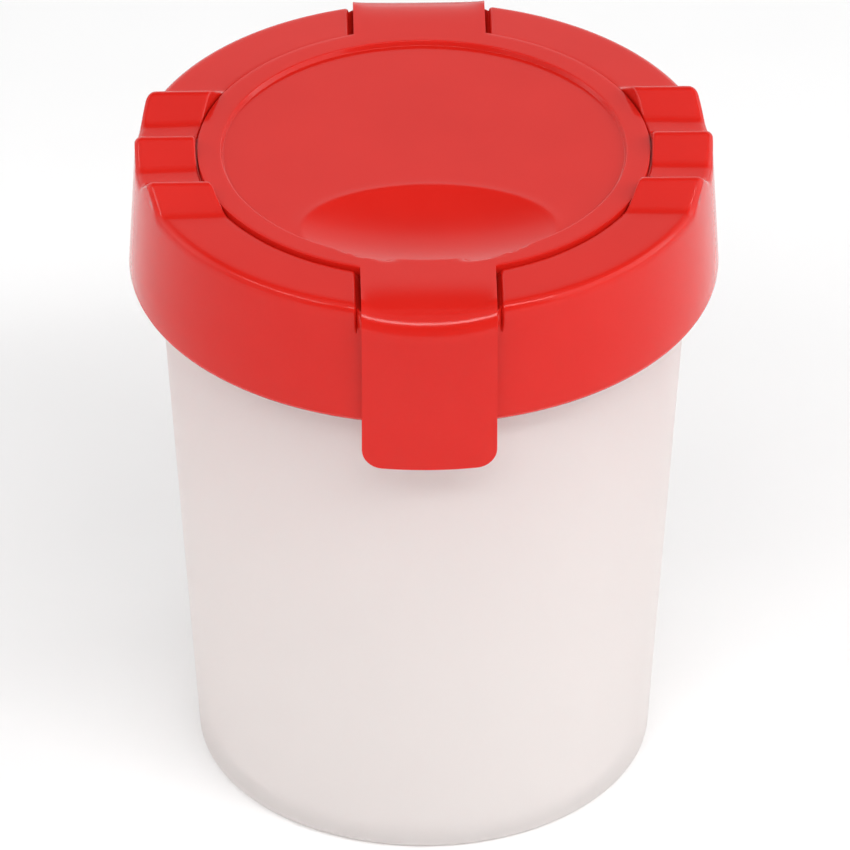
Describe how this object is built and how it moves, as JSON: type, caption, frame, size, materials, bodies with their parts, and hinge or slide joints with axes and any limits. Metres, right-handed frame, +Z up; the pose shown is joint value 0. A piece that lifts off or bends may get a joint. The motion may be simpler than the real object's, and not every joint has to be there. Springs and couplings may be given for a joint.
{
  "type": "no-spill paint cup",
  "caption": "Tapered translucent paint cup with a push-fit funnel collar, brush rests and a tabbed stopper lid.",
  "frame": {"origin": "centre of the foot ring, in the plane that the cup stands on", "axes": "+Z up along the cup; the lid's tabs point to -Y (front, with the finger dish) and +Y; the brush rests are on -X and +X"},
  "size_m": [0.0738, 0.0758, 0.0885],
  "materials": {
    "natural_plastic": "unpigmented, milky translucent moulding with a soft sheen",
    "red_plastic": "bright red moulding, semi-gloss"
  },
  "bodies": {
    "cup": {"cup": "natural_plastic"},
    "collar": {"collar": "red_plastic"},
    "lid": {"stopper_lid": "red_plastic"}
  },
  "joints": [
    {"name": "collar_lift", "type": "slide", "parent": "cup", "child": "collar", "axis": [0, 0, 1], "range_m": [0, 0.045]},
    {"name": "lid_lift", "type": "slide", "parent": "collar", "child": "lid", "axis": [0, 0, 1], "range_m": [0, 0.04]}
  ]
}
